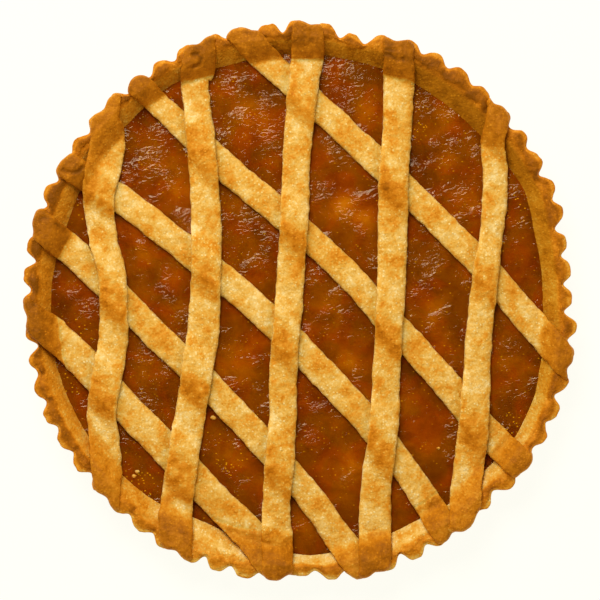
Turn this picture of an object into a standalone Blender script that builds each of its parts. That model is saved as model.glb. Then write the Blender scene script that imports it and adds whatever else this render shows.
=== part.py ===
"""Apricot crostata: a fluted shortcrust shell, a filling of apricot jam and a lattice of pastry strips.

Metres, +Z up. The origin is the middle of the flat underside, on the surface that the tart stands on.
The lattice has two layers: the lower strips lie aslant on the jam, and the upper strips cross over them.
Every strip climbs the inside of the rim at both ends and is cut off flush with the flutes.
"""

import math
from typing import NamedTuple

import bmesh
import bpy
from mathutils import Vector, noise

MM = 0.001

# The shell, as the fluted tin leaves it.
RIM_RADIUS = 130.0 * MM  # to the tips of the flutes, where RIM_SHAPE says nothing else
BASE_RADIUS = 124.5 * MM  # to the tips of the flutes at the foot: the tin widens upwards
CREST_RADIUS = 125.0 * MM  # the highest line of the rim
RIM_HEIGHT = 22.0 * MM
FOOT_ROUND = 1.5 * MM
FLUTES = 60
FLUTE_DEPTH = 4.6 * MM
FLUTE_ROUNDNESS = 0.75  # under 1 makes the tips broad and the notches sharp
FLUTE_TIP_ANGLE = math.radians(0.6)
STEPS_PER_FLUTE = 4

# The inside of the shell.
FLOOR = 5.0 * MM
FLOOR_RADIUS = 109.0 * MM
JAM_RADIUS = 114.0 * MM  # where the jam meets the rim, where JAM_EDGE says nothing else
JAM_LEVEL = 12.5 * MM

# The rim shrank back from the tin in places and was pressed unevenly. Directions in degrees, radii in mm.
RIM_SHAPE = (
    (0, 126.3), (8, 126.5), (14, 127.0), (21, 129.8), (31, 129.8), (45, 130.4), (57, 131.2), (66, 131.4),
    (72, 129.2), (78, 125.8), (84, 129.1), (91, 130.0), (97, 128.5), (105, 130.0), (120, 128.9), (133, 129.0),
    (148, 128.4), (163, 129.3), (175, 128.4), (187, 128.0), (205, 130.0), (217, 129.5), (229, 129.5),
    (240, 131.2), (259, 131.0), (265, 130.1), (271, 127.3), (276, 130.3), (282, 132.0), (294, 131.3),
    (300, 130.6), (306, 131.3), (315, 129.6), (321, 131.5), (331, 130.9), (343, 130.0), (354, 129.1),
)
JAM_EDGE = (
    (0, 112.3), (14, 112.5), (26, 115.2), (45, 113.0), (75, 113.5), (90, 114.0), (105, 113.4), (121, 115.8),
    (135, 113.8), (163, 113.0), (172, 114.4), (196, 116.0), (211, 115.7), (231, 114.3), (246, 111.2),
    (262, 115.0), (273, 117.5), (285, 116.0), (299, 114.7), (306, 116.0), (314, 115.6), (328, 117.5),
    (337, 116.8), (346, 114.7),
)
FLUTE_UNEVENNESS = 0.3  # share of the depth
CREST_WAVE = 0.8 * MM
JAM_WAVE = 0.4 * MM
JAM_WAVE_LENGTH = 50.0 * MM

# The strips.
STRIP_THICKNESS = 4.0 * MM
END_THICKNESS = 2.6 * MM  # pressed thinner where it lies on the rim
EDGE_WAVE = 0.4 * MM  # unevenness of each edge
CLEARANCE = 0.4 * MM
BRIDGE = 6.0 * MM  # an upper strip comes down this far beside a lower one
SHOULDER = 1.2 * MM  # its raised part reaches this far past the lower strip
CORNER_SOFTNESS = 3.0 * MM  # how gently a strip turns from the jam up the rim
CROSS_SECTION = (  # across the strip from edge to edge: place, and share of the thickness
    (-1.0, 0.62),
    (-0.62, 0.94),
    (0.0, 1.0),
    (0.62, 0.94),
    (1.0, 0.62),
)
RIM_STEP = 3.0 * MM  # between stations on the rim
CROSSING_STEP = 4.8 * MM  # between stations near a crossing
OPEN_STEP = 12.0 * MM  # between stations elsewhere
RIM_ZONE = 109.0 * MM  # a strip is on its way up the rim outside this radius
CURVE_STEPS = 12  # pieces of curve between two of a strip's points

# Points that the middle of each strip passes and its width there, in mm. The end points are past the rim.
LOWER_STRIPS = (
    ((-32, 131, 14.5), (-21, 117.5, 13.5), (-14, 110.5, 12.3), (16.5, 83, 12.3), (60.5, 41, 12.6),
     (87, 14, 12.8), (111.5, -14.5, 13.5), (120, -24, 14), (136, -41, 14)),
    ((-86, 111, 11), (-74, 99.5, 11.5), (-62.5, 88.5, 11), (-46.5, 73.5, 12.5), (-32.5, 60.5, 13.2),
     (14, 20.5, 12.3), (46.5, -14.5, 13), (65, -35, 13.4), (90.5, -64.5, 13.8), (120, -90, 13.8)),
    ((-123, 70, 12), (-110.5, 64, 12.5), (-83.5, 47.5, 12.8), (-55.5, 26, 13), (-18.5, -4.5, 13.2),
     (28, -52, 13.3), (49, -78.5, 12.6), (62, -98, 13.5), (78, -123, 14)),
    ((-131, 44, 14), (-104.5, 21.5, 13.8), (-65, -17.5, 12.8), (-32.5, -49.5, 12.9), (2.5, -88.5, 12.6),
     (14, -105, 13), (24, -118, 14), (36, -134, 14)),
    ((-138, 1, 14), (-111.5, -18, 14.5), (-79, -51.5, 14.5), (-55.5, -75.5, 14.8), (-38, -94, 14.6),
     (-22, -110, 15), (-6, -131, 15)),
)
UPPER_STRIPS = (
    ((-90, 98, 14), (-90.5, 85, 14.4), (-89, 75.5, 15.6), (-91.4, 60.7, 16), (-93.4, 46.8, 14.4),
     (-91.2, 28, 13.5), (-87, 9.7, 13), (-86.8, -18, 13.6), (-90, -37, 14), (-92, -52.6, 13.3),
     (-91, -64.6, 14.2), (-89.6, -79, 13.8), (-90, -98, 12.5)),
    ((-46, 126, 14), (-47, 109, 15.5), (-48.8, 100.7, 12.8), (-46, 74.7, 13.5), (-43.5, 37.5, 13.8),
     (-43.5, 12, 14), (-45.4, -18, 14.6), (-51.3, -55.3, 14.3), (-57, -92.5, 15), (-57.3, -108, 15),
     (-56.5, -126, 14)),
    ((3, 136, 13.5), (3.8, 117, 15.2), (1.5, 98, 14.3), (-1.5, 65.4, 12.8), (-2.5, 37.5, 13.3),
     (-4.7, 5, 13), (-7.5, -30, 13), (-7.8, -55.3, 13), (-9.3, -73.9, 13.6), (-11, -97, 12.8),
     (-10.4, -113, 14.6), (-10.3, -137, 13.5)),
    ((45.5, 128, 14), (46, 101, 14.2), (45, 77, 13.7), (43.6, 56, 13.9), (42.9, 18.9, 13.6),
     (41.7, -10, 13.3), (40.7, -27.5, 12.6), (39.3, -55.3, 13.7), (35.8, -83.2, 14.1), (35, -100, 15),
     (34.5, -137, 14.8)),
    ((94, 98, 11), (91.5, 83, 11), (89.5, 73, 10.6), (91, 57, 11.7), (89.5, 33, 11), (86, 9, 12),
     (83, -22, 12.5), (81.4, -50.7, 13.7), (78.4, -78.6, 13.9), (76.8, -92.5, 14.6), (76, -114, 14)),
)

# Colour as linear RGB, and roughness.
PASTRY = ((0.80, 0.46, 0.11), 0.75)
BROWNED_PASTRY = ((0.47, 0.19, 0.03), 0.7)
JAM = ((0.28, 0.065, 0.003), 0.15)


class Ring(NamedTuple):
    """One ring of the shell, and how much of each unevenness it has."""

    radius: float
    height: float
    flutes: float = 0.0
    outside: float = 0.0
    inside: float = 0.0
    crest: float = 0.0


# The shell's section from the middle of the underside round to the middle of the floor.
SHELL_SECTION = (
    Ring(0.0, 0.0),
    Ring(BASE_RADIUS - FOOT_ROUND, 0.0, flutes=0.8, outside=0.8),
    Ring(BASE_RADIUS, FOOT_ROUND, flutes=0.8, outside=0.8),
    Ring(RIM_RADIUS, RIM_HEIGHT - 3.4 * MM, flutes=1.0, outside=1.0, crest=0.7),
    Ring(RIM_RADIUS - 1.4 * MM, RIM_HEIGHT - 1.0 * MM, flutes=0.85, outside=1.0, crest=1.0),
    Ring(CREST_RADIUS, RIM_HEIGHT, flutes=0.2, outside=0.8, inside=0.1, crest=1.0),
    Ring(121.6 * MM, RIM_HEIGHT - 1.3 * MM, outside=0.4, inside=0.4, crest=1.0),
    Ring(117.6 * MM, JAM_LEVEL + 4.2 * MM, outside=0.1, inside=0.8, crest=0.5),
    Ring(JAM_RADIUS, JAM_LEVEL - 0.8 * MM, inside=1.0),
    Ring(FLOOR_RADIUS, FLOOR),
    Ring(0.0, FLOOR),
)
INNER_RINGS = SHELL_SECTION[8:4:-1]  # from the jam up to the crest


def smoothstep(low, high, value):
    """0 below low, 1 above high, and a smooth way between."""
    t = min(1.0, max(0.0, (value - low) / (high - low)))
    return t * t * (3 - 2 * t)


def looked_up(shape, angle):
    """The radius in metres that a table of directions and radii gives for an angle in radians."""
    direction = math.degrees(angle) % 360
    wrapped = (*shape, (360, shape[0][1]))
    for (before, near), (after, far) in zip(wrapped, wrapped[1:]):
        if direction <= after:
            return (near + (far - near) * smoothstep(before, after, direction)) * MM
    return shape[0][1] * MM


def wave_round(angle, waves, seed):
    """Soft unevenness round the tart, about -1 to 1, that meets itself after a full turn."""
    return 1.8 * noise.noise(Vector((waves * math.cos(angle), waves * math.sin(angle), seed)))


def flute(angle):
    """1 at the tip of a flute and 0 in the notch between two."""
    return abs(math.cos(FLUTES / 2 * (angle - FLUTE_TIP_ANGLE))) ** FLUTE_ROUNDNESS


def shell_place(ring, angle, tip):
    """Radius and height of a ring of the shell in this direction, for tip from 0 in a notch to 1 at a tip."""
    depth = FLUTE_DEPTH * (1 + FLUTE_UNEVENNESS * wave_round(angle, 9.0, 4.0))
    radius = ring.radius - ring.flutes * depth * (1 - tip)
    radius += ring.outside * (looked_up(RIM_SHAPE, angle) - RIM_RADIUS)
    radius += ring.inside * (looked_up(JAM_EDGE, angle) - JAM_RADIUS)
    return radius, ring.height + ring.crest * CREST_WAVE * wave_round(angle, 5.0, 1.0)


def rim_top(radius, angle):
    """Height of the rim's inner slope and crest at this radius, level outside the crest's notches."""
    section = [shell_place(ring, angle, 0.0) for ring in INNER_RINGS]
    if radius <= section[0][0]:
        return section[0][1]
    for (near, low), (far, high) in zip(section, section[1:]):
        if radius <= far:
            return low + (high - low) * (radius - near) / (far - near)
    return section[-1][1]


def jam_top(x, y):
    """Height of the jam's surface."""
    place = Vector((x / JAM_WAVE_LENGTH, y / JAM_WAVE_LENGTH, 3.0))
    return JAM_LEVEL + JAM_WAVE * noise.noise(place)


def bed(x, y):
    """Height of what a lower strip lies on: the jam, and the rim, with a soft turn between them."""
    radius, angle = math.hypot(x, y), math.atan2(y, x)
    rim = max(rim_top(radius + reach, angle) for reach in (-1.5 * MM, 1.5 * MM))
    jam = jam_top(x, y)
    mix = max(0.0, CORNER_SOFTNESS - abs(rim - jam)) / CORNER_SOFTNESS
    return max(rim, jam) + CORNER_SOFTNESS * mix * mix / 4


def thickness(x, y):
    """How thick a strip is here: full on the jam, pressed thinner on the rim."""
    on_rim = smoothstep(JAM_RADIUS, CREST_RADIUS, math.hypot(x, y))
    return STRIP_THICKNESS + (END_THICKNESS - STRIP_THICKNESS) * on_rim


def smooth_path(points):
    """A strip's points joined by a smooth curve of (x, y, width) vectors in metres."""
    knots = [Vector(point) * MM for point in points]
    knots = [2 * knots[0] - knots[1], *knots, 2 * knots[-1] - knots[-2]]
    path = []
    for before, start, end, after in zip(knots, knots[1:], knots[2:], knots[3:]):
        for step in range(CURVE_STEPS):
            t = step / CURVE_STEPS
            path.append(
                start
                + 0.5 * t * (end - before)
                + t * t * (before - 2.5 * start + 2 * end - 0.5 * after)
                + t * t * t * (1.5 * (start - end) + 0.5 * (after - before))
            )
    return path + [knots[-2]]


def gap_to(path, point):
    """Distance from a point to the nearest edge of the strip along a path, negative over the strip."""
    nearest = math.inf
    for start, end in zip(path, path[1:]):
        along = end.xy - start.xy
        t = min(1.0, max(0.0, (point - start.xy).dot(along) / along.length_squared))
        place = start.lerp(end, t)
        nearest = min(nearest, (place.xy - point).length - place.z / 2)
    return nearest


def stations(path, crossed):
    """Places along a path as (x, y, width) vectors with their sideways directions, closest at the bends."""
    found = []
    since = math.inf
    for start, end in zip(path, path[1:]):
        length = (end.xy - start.xy).length
        sideways = Vector((start.y - end.y, end.x - start.x)) / length
        pieces = max(1, math.ceil(length / (0.4 * MM)))
        for piece in range(pieces):
            place = start.lerp(end, piece / pieces)
            if place.xy.length > RIM_ZONE:
                step = RIM_STEP
            elif any(gap_to(other, place.xy) < BRIDGE + 4 * MM for other in crossed):
                step = CROSSING_STEP
            else:
                step = OPEN_STEP
            if since >= step:
                found.append((place, sideways))
                since = 0.0
            since += length / pieces
    return found + [(path[-1], sideways)]


def underside(crossed, x, y):
    """Height of a strip's underside: clear of the bed, and of the strips that it crosses."""
    height = bed(x, y) + CLEARANCE
    if crossed:
        gap = min(gap_to(path, Vector((x, y))) for path in crossed)
        height += (thickness(x, y) + CLEARANCE) * (1 - smoothstep(SHOULDER, SHOULDER + BRIDGE, gap))
    return height


def material(name, look):
    """A plain material of this colour and roughness."""
    colour, roughness = look
    made = bpy.data.materials.new(name)
    made.use_nodes = True
    shader = made.node_tree.nodes["Principled BSDF"]
    shader.inputs["Base Color"].default_value = (*colour, 1.0)
    shader.inputs["Roughness"].default_value = roughness
    shader.inputs["Metallic"].default_value = 0.0
    return made


def add_object(name, bm, look=None):
    """An object made from a bmesh, with its faces pointing out and its round parts smooth."""
    bmesh.ops.recalc_face_normals(bm, faces=bm.faces)
    mesh = bpy.data.meshes.new(name)
    bm.to_mesh(mesh)
    bm.free()
    mesh.shade_smooth()
    mesh.set_sharp_from_angle(angle=math.radians(50))
    if look:
        mesh.materials.append(look)
    made = bpy.data.objects.new(name, mesh)
    bpy.context.scene.collection.objects.link(made)
    return made


def spun(section, steps, start_angle):
    """A section of (radius, height) points, spun about Z. Each vertex keeps its place in the section."""
    bm = bmesh.new()
    ring = bm.verts.layers.int.new("ring")
    verts = []
    for number, (radius, height) in enumerate(section):
        vert = bm.verts.new((radius * math.cos(start_angle), radius * math.sin(start_angle), height))
        vert[ring] = number
        verts.append(vert)
    edges = [bm.edges.new(pair) for pair in zip(verts, verts[1:])]
    bmesh.ops.spin(
        bm, geom=verts + edges, axis=(0, 0, 1), cent=(0, 0, 0), steps=steps, angle=2 * math.pi, use_merge=True
    )
    bmesh.ops.remove_doubles(bm, verts=bm.verts, dist=0.01 * MM)
    return bm, ring


def shell(look):
    """The fluted shell, one solid from the underside to the floor under the jam."""
    notch = FLUTE_TIP_ANGLE + math.pi / FLUTES
    bm, number = spun([ring[:2] for ring in SHELL_SECTION], FLUTES * STEPS_PER_FLUTE, notch)
    for vert in bm.verts:
        if vert.co.xy.length > FOOT_ROUND:
            angle = math.atan2(vert.co.y, vert.co.x)
            radius, height = shell_place(SHELL_SECTION[vert[number]], angle, flute(angle))
            vert.co = (radius * math.cos(angle), radius * math.sin(angle), height)
    return add_object("crust", bm, look)


def filling(look):
    """The jam, from the shell's floor up to its gently uneven surface."""
    rings, steps = 6, 80
    bottom, inner = FLOOR + CLEARANCE, FLOOR_RADIUS - CLEARANCE
    section = [(0.0, bottom), (inner, bottom)]
    section += [(JAM_RADIUS * (rings - step) / rings, JAM_LEVEL) for step in range(rings + 1)]
    bm, number = spun(section, steps, 0.0)
    for vert in bm.verts:
        if vert[number] >= 2:
            edge = looked_up(JAM_EDGE, math.atan2(vert.co.y, vert.co.x)) - CLEARANCE
            vert.co.xy *= edge / JAM_RADIUS
            vert.co.z = jam_top(vert.co.x, vert.co.y)
    return add_object("jam", bm, look)


def trimmer():
    """A fluted prism that the strips' ends are cut by. It is a helper, and not a part of the tart."""
    bm = bmesh.new()
    bmesh.ops.create_circle(bm, cap_ends=True, segments=FLUTES * STEPS_PER_FLUTE, radius=RIM_RADIUS)
    notch = FLUTE_TIP_ANGLE + math.pi / FLUTES
    outline = Ring(RIM_RADIUS, 0.0, flutes=1.0, outside=1.0)
    for step, vert in enumerate(bm.verts):
        angle = notch + 2 * math.pi * step / len(bm.verts)
        radius, height = shell_place(outline, angle, flute(angle))
        vert.co = (radius * math.cos(angle), radius * math.sin(angle), height)
    made = bmesh.ops.extrude_face_region(bm, geom=bm.faces[:], use_keep_orig=True)
    top = [item for item in made["geom"] if isinstance(item, bmesh.types.BMVert)]
    bmesh.ops.translate(bm, verts=top, vec=(0, 0, 2 * RIM_HEIGHT))
    made = add_object("trimmer", bm)
    made.hide_render = True
    made.display_type = "WIRE"
    return made


def strip(name, path, crossed, seed, cutter, look):
    """One strip of pastry along a path, over the strips that it crosses, cut flush with the rim."""
    bm = bmesh.new()
    places = stations(path, crossed)
    columns = len(CROSS_SECTION)
    bmesh.ops.create_grid(bm, x_segments=columns - 1, y_segments=len(places) - 1, size=1.0)
    lower = sorted(bm.verts, key=lambda vert: (round(vert.co.y, 6), vert.co.x))
    made = bmesh.ops.extrude_face_region(bm, geom=bm.faces[:], use_keep_orig=True)
    upper = [item for item in made["geom"] if isinstance(item, bmesh.types.BMVert)]
    upper.sort(key=lambda vert: (round(vert.co.y, 6), vert.co.x))
    for number, (below, above) in enumerate(zip(lower, upper)):
        (middle, sideways), (across, share) = places[number // columns], CROSS_SECTION[number % columns]
        uneven = EDGE_WAVE * noise.noise(Vector((middle.x, middle.y, seed + across)) / (12 * MM))
        x, y = middle.xy + sideways * across * (middle.z / 2 + uneven)
        height = underside(crossed, x, y)
        below.co = (x, y, height)
        above.co = (x, y, height + share * thickness(x, y))
    made = add_object(name, bm, look)
    cut = made.modifiers.new("trim", "BOOLEAN")
    cut.operation = "INTERSECT"
    cut.object = cutter
    return made


def main():
    """Builds the whole tart."""
    for left in list(bpy.data.objects):
        bpy.data.objects.remove(left)
    pastry = material("pastry", PASTRY)
    shell(material("browned_pastry", BROWNED_PASTRY))
    filling(material("jam", JAM))
    cutter = trimmer()
    lower = [smooth_path(points) for points in LOWER_STRIPS]
    for number, path in enumerate(lower, 1):
        strip(f"lower_strip_{number}", path, [], number, cutter, pastry)
    for number, points in enumerate(UPPER_STRIPS, 1):
        strip(f"upper_strip_{number}", smooth_path(points), lower, 10 + number, cutter, pastry)


main()
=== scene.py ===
"""The looks of an apricot crostata: a fluted shell of browned shortcrust, glossy jam and a lattice.

Places and sizes are in millimetres, +Z up, from the middle of the tart's flat underside. A mesh is
turned into metres when its object is made.
"""

import itertools
import logging
import math
from dataclasses import dataclass, field
from enum import Enum
from functools import partial
from typing import Callable, NamedTuple

import bmesh
import bpy
import numpy as np
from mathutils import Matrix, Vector, kdtree, noise


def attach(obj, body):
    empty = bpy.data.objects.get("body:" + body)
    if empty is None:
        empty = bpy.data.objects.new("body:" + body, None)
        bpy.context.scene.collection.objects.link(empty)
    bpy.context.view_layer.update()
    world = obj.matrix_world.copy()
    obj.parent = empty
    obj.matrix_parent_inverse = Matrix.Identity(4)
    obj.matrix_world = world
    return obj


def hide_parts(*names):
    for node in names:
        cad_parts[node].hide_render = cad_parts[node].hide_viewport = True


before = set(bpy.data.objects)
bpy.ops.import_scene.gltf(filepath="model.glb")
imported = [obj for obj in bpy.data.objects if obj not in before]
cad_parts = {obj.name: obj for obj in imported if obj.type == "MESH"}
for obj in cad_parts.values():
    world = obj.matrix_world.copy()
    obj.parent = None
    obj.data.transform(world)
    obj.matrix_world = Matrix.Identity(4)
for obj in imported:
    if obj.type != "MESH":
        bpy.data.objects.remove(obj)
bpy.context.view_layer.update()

MM = 0.001
LOG = logging.getLogger("crostata")

Shape = tuple[tuple[float, float], ...]
Points = tuple[tuple[float, float, float], ...]
Stops = tuple[tuple[float, str], ...]

# How the rim shrank back from the tin in places and was pressed unevenly: directions in degrees, and the
# radius of the flutes' tips. Then the radius at which the jam meets the rim.
RIM_SHAPE = (
    (0, 126.3), (8, 126.5), (14, 127.0), (21, 129.8), (31, 129.8), (45, 130.4), (57, 131.2), (66, 131.4),
    (72, 129.2), (78, 125.8), (84, 129.1), (91, 130.0), (97, 128.5), (105, 130.0), (120, 128.9),
    (133, 129.0), (148, 128.4), (163, 129.3), (175, 128.4), (187, 128.0), (205, 130.0), (217, 129.5),
    (229, 129.5), (240, 131.2), (259, 131.0), (265, 130.1), (271, 127.3), (276, 130.3), (282, 132.0),
    (294, 131.3), (300, 130.6), (306, 131.3), (315, 129.6), (321, 131.5), (331, 130.9), (343, 130.0),
    (354, 129.1),
)
JAM_EDGE = (
    (0, 112.3), (14, 112.5), (26, 115.2), (45, 113.0), (75, 113.5), (90, 114.0), (105, 113.4),
    (121, 115.8), (135, 113.8), (163, 113.0), (172, 114.4), (196, 116.0), (211, 115.7), (231, 114.3),
    (246, 111.2), (262, 115.0), (273, 117.5), (285, 116.0), (299, 114.7), (306, 116.0), (314, 115.6),
    (328, 117.5), (337, 116.8), (346, 114.7),
)

# How many degrees the jam's wrinkles lean from the X axis.
WRINKLE_LEAN = 35.0

# Points that the middle of each strip passes and its width there. The end points are past the rim.
LOWER_STRIPS = (
    ((-32, 131, 14.5), (-21, 117.5, 13.5), (-14, 110.5, 12.3), (16.5, 83, 12.3), (60.5, 41, 12.6),
     (87, 14, 12.8), (111.5, -14.5, 13.5), (120, -24, 14), (136, -41, 14)),
    ((-86, 111, 11), (-74, 99.5, 11.5), (-62.5, 88.5, 11), (-46.5, 73.5, 12.5), (-32.5, 60.5, 13.2),
     (14, 20.5, 12.3), (46.5, -14.5, 13), (65, -35, 13.4), (90.5, -64.5, 13.8), (120, -90, 13.8)),
    ((-123, 70, 12), (-110.5, 64, 12.5), (-83.5, 47.5, 12.8), (-55.5, 26, 13), (-18.5, -4.5, 13.2),
     (28, -52, 13.3), (49, -78.5, 12.6), (62, -98, 13.5), (78, -123, 14)),
    ((-131, 44, 14), (-104.5, 21.5, 13.8), (-65, -17.5, 12.8), (-32.5, -49.5, 12.9), (2.5, -88.5, 12.6),
     (14, -105, 13), (24, -118, 14), (36, -134, 14)),
    ((-138, 1, 14), (-111.5, -18, 14.5), (-79, -51.5, 14.5), (-55.5, -75.5, 14.8), (-38, -94, 14.6),
     (-22, -110, 15), (-6, -131, 15)),
)
UPPER_STRIPS = (
    ((-90, 98, 14), (-90.5, 85, 14.4), (-89, 75.5, 15.6), (-91.4, 60.7, 16), (-93.4, 46.8, 14.4),
     (-91.2, 28, 13.5), (-87, 9.7, 13), (-86.8, -18, 13.6), (-90, -37, 14), (-92, -52.6, 13.3),
     (-91, -64.6, 14.2), (-89.6, -79, 13.8), (-90, -98, 12.5)),
    ((-46, 126, 14), (-47, 109, 15.5), (-48.8, 100.7, 12.8), (-46, 74.7, 13.5), (-43.5, 37.5, 13.8),
     (-43.5, 12, 14), (-45.4, -18, 14.6), (-51.3, -55.3, 14.3), (-57, -92.5, 15), (-57.3, -108, 15),
     (-56.5, -126, 14)),
    ((3, 136, 13.5), (3.8, 117, 15.2), (1.5, 98, 14.3), (-1.5, 65.4, 12.8), (-2.5, 37.5, 13.3),
     (-4.7, 5, 13), (-7.5, -30, 13), (-7.8, -55.3, 13), (-9.3, -73.9, 13.6), (-11, -97, 12.8),
     (-10.4, -113, 14.6), (-10.3, -137, 13.5)),
    ((45.5, 128, 14), (46, 101, 14.2), (45, 77, 13.7), (43.6, 56, 13.9), (42.9, 18.9, 13.6),
     (41.7, -10, 13.3), (40.7, -27.5, 12.6), (39.3, -55.3, 13.7), (35.8, -83.2, 14.1), (35, -100, 15),
     (34.5, -137, 14.8)),
    ((94, 98, 11), (91.5, 83, 11), (89.5, 73, 10.6), (91, 57, 11.7), (89.5, 33, 11), (86, 9, 12),
     (83, -22, 12.5), (81.4, -50.7, 13.7), (78.4, -78.6, 13.9), (76.8, -92.5, 14.6), (76, -114, 14)),
)


class Layer(Enum):
    """Which layer of the lattice a strip is in."""

    LOWER = "lower_strip"
    UPPER = "upper_strip"


class Slot(Enum):
    """The record's material slots."""

    CRUST = "browned_pastry"
    STRIP = "pastry"
    JAM = "jam"


# Small tools for whole arrays of places.


def smoothstep(low: float, high: float, value: np.ndarray) -> np.ndarray:
    """A share that rises smoothly from 0 where the value is low to 1 where it is high."""
    t = np.clip((value - low) / (high - low), 0.0, 1.0)
    return t * t * (3 - 2 * t)


def looked_up(shape: Shape, angle: np.ndarray) -> np.ndarray:
    """Reads a table of directions and radii.

    Args:
        shape: directions in degrees, rising from 0, and radii.
        angle: the angles to read it at, in radians.

    Returns:
        The radii there, with smooth steps between the table's.
    """
    directions = np.array([point[0] for point in shape] + [360.0])
    radii = np.array([point[1] for point in shape] + [shape[0][1]])
    direction = np.degrees(angle) % 360
    place = np.clip(np.searchsorted(directions, direction, side="right") - 1, 0, len(shape) - 1)
    t = (direction - directions[place]) / (directions[place + 1] - directions[place])
    return radii[place] + (radii[place + 1] - radii[place]) * t * t * (3 - 2 * t)


def wave_round(angle: np.ndarray, waves: float, seed: float) -> np.ndarray:
    """Soft unevenness round the tart that meets itself after a full turn.

    Args:
        angle: the angles to read it at, in radians.
        waves: how quickly it changes.
        seed: a number that picks one unevenness from many.

    Returns:
        Values of about -1 to 1.
    """
    turns = np.linspace(-math.pi, math.pi, 1441)
    values = [1.8 * noise.noise((waves * math.cos(turn), waves * math.sin(turn), seed)) for turn in turns]
    return np.interp(np.arctan2(np.sin(angle), np.cos(angle)), turns, values)


def hash_share(number: np.ndarray, seed: int) -> np.ndarray:
    """A share from 0 to 1 for each whole number, the same on every run."""
    return np.random.default_rng(seed).random(997)[np.asarray(number) % 997]


@dataclass
class Unevenness:
    """Smooth lumps in space, read for whole arrays of places. A number that is added to the places reads
    another part of the same field.

    Args:
        seed: a number that picks one field of lumps.
    """

    seed: int
    order: np.ndarray = field(init=False)
    slopes: np.ndarray = field(init=False)

    def __post_init__(self) -> None:
        """Draws the slopes at the corners of the field's cells."""
        draw = np.random.default_rng(self.seed)
        self.order = draw.permutation(512)
        slopes = draw.normal(size=(512, 3))
        self.slopes = slopes / np.linalg.norm(slopes, axis=1, keepdims=True)

    def at(self, place: np.ndarray, size: float) -> np.ndarray:
        """Reads the lumps.

        Args:
            place: places, with x, y and z along the last axis.
            size: how far apart the lumps are.

        Returns:
            Values of about -1 to 1, one for each place.
        """
        cells = place.reshape(-1, 3) / size
        low = np.floor(cells).astype(int)
        part = cells - low
        fade = part**3 * (part * (part * 6 - 15) + 10)
        total = np.zeros(len(cells))
        for corner in itertools.product((0, 1), repeat=3):
            key = np.zeros(len(cells), int)
            weight = np.ones(len(cells))
            for axis, step in enumerate(corner):
                key = self.order[(key + low[:, axis] + step) % len(self.order)]
                weight = weight * (fade[:, axis] if step else 1 - fade[:, axis])
            total += weight * np.einsum("ij,ij->i", self.slopes[key], part - np.array(corner))
        return (1.7 * total).reshape(place.shape[:-1])

    def layers(self, place: np.ndarray, size: float, count: int = 3) -> np.ndarray:
        """Lumps with smaller lumps on them, each size half as far apart and half as strong."""
        return sum(self.at(place + 37.0 * step, size / 2**step) / 2**step for step in range(count))


def stacked(x: np.ndarray, y: np.ndarray, z: np.ndarray | float = 0.0) -> np.ndarray:
    """Places from their separate coordinates, along a new last axis."""
    return np.stack(np.broadcast_arrays(x, y, z), axis=-1).astype(float)


def round_spot(x: np.ndarray, y: np.ndarray, middle: tuple[float, float], size: float) -> np.ndarray:
    """A soft round spot, 1 in its middle and fading out past its size."""
    return np.exp(-((x - middle[0]) ** 2 + (y - middle[1]) ** 2) / size**2)


def smooth_curve(knots: np.ndarray, counts: tuple[int, ...], pull: float) -> list[np.ndarray]:
    """Points along a smooth curve through all but the first and the last of some knots.

    Args:
        knots: the knots, along the first axis.
        counts: into how many steps each stretch between two knots goes.
        pull: how strongly a knot's neighbours set the curve's direction there.

    Returns:
        The points of each stretch, without its last.
    """
    curve = []
    for count, before, start, end, after in zip(counts, knots, knots[1:], knots[2:], knots[3:]):
        t = np.linspace(0.0, 1.0, count + 1)[:-1, None]
        curve.append(
            start
            + pull * t * (end - before)
            + t * t * (2 * pull * before - (3 - pull) * start + (3 - 2 * pull) * end - pull * after)
            + t**3 * ((2 - pull) * (start - end) + pull * (after - before))
        )
    return curve


# The forms that the pieces share.


class Ring(NamedTuple):
    """One ring of the shell, and how much of each unevenness it has."""

    radius: float
    height: float
    flutes: float = 0.0
    outside: float = 0.0
    inside: float = 0.0
    crest: float = 0.0


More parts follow.
